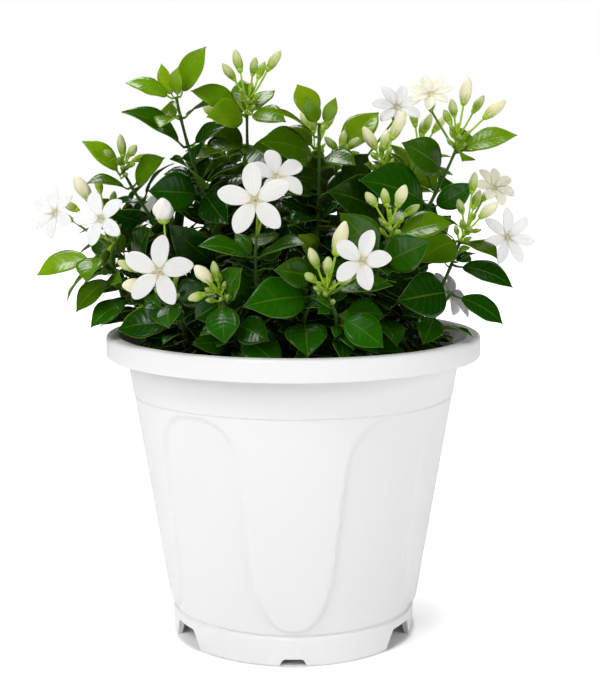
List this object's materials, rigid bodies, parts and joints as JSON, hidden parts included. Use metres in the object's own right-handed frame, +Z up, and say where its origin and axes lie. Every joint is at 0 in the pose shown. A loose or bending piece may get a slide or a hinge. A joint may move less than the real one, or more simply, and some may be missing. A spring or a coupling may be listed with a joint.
{
  "type": "potted arabian jasmine",
  "caption": "Bushy potted arabian jasmine with glossy oval leaves, white star blooms and bud sprays in a tapered white nursery pot with arched panels.",
  "frame": {"origin": "on the pot's axis at the floor, the bottom centre of the whole plant", "axes": "+Z up, -Y towards the side seen in the picture, +X to its right"},
  "size_m": [0.2702, 0.2135, 0.3192],
  "materials": {
    "pot_plastic": "semi-gloss moulded white plastic",
    "potting_soil": "loose dark potting mix",
    "leafy_green": "glossy living leaves on green-brown stems",
    "bud_cream_green": "satin living buds, cream to yellow-green",
    "petal_white": "soft matt living petals"
  },
  "bodies": {
    "root": {"bloom_back_0": "petal_white", "bloom_back_2": "petal_white", "bloom_back_4": "petal_white", "bloom_back_6": "petal_white", "bloom_centre": "petal_white", "bloom_centre_back": "petal_white", "bloom_far_left": "petal_white", "bloom_far_right": "petal_white", "bloom_front_right": "petal_white", "bloom_left": "petal_white", "bloom_pale": "petal_white", "bloom_turned": "petal_white", "bloom_upright": "petal_white", "bloom_yellow": "petal_white", "pot": "pot_plastic", "shoot_back_0": "leafy_green", "shoot_back_1": "leafy_green", "shoot_back_2": "leafy_green", "shoot_back_3": "leafy_green", "shoot_back_4": "leafy_green", "shoot_back_5": "leafy_green", "shoot_back_6": "leafy_green", "shoot_back_7": "leafy_green", "shoot_centre_left": "leafy_green", "shoot_centre_right": "leafy_green", "shoot_front": "leafy_green", "shoot_front_left": "leafy_green", "shoot_front_right": "leafy_green", "shoot_left": "leafy_green", "shoot_left_high": "leafy_green", "shoot_left_low": "leafy_green", "shoot_left_middle": "leafy_green", "shoot_left_top": "leafy_green", "shoot_middle_right": "leafy_green", "shoot_right": "leafy_green", "shoot_right_inner": "leafy_green", "shoot_right_low": "leafy_green", "shoot_right_top": "leafy_green", "shoot_top": "leafy_green", "shoot_top_middle": "leafy_green", "soil": "potting_soil", "spray_back_1": "bud_cream_green", "spray_back_3": "bud_cream_green", "spray_back_5": "bud_cream_green", "spray_centre_right": "bud_cream_green", "spray_front_left": "bud_cream_green", "spray_front_right": "bud_cream_green", "spray_left": "bud_cream_green", "spray_left_high": "bud_cream_green", "spray_middle_right": "bud_cream_green", "spray_right": "bud_cream_green", "spray_right_inner": "bud_cream_green", "spray_right_top": "bud_cream_green", "spray_top": "bud_cream_green"}
  },
  "joints": []
}
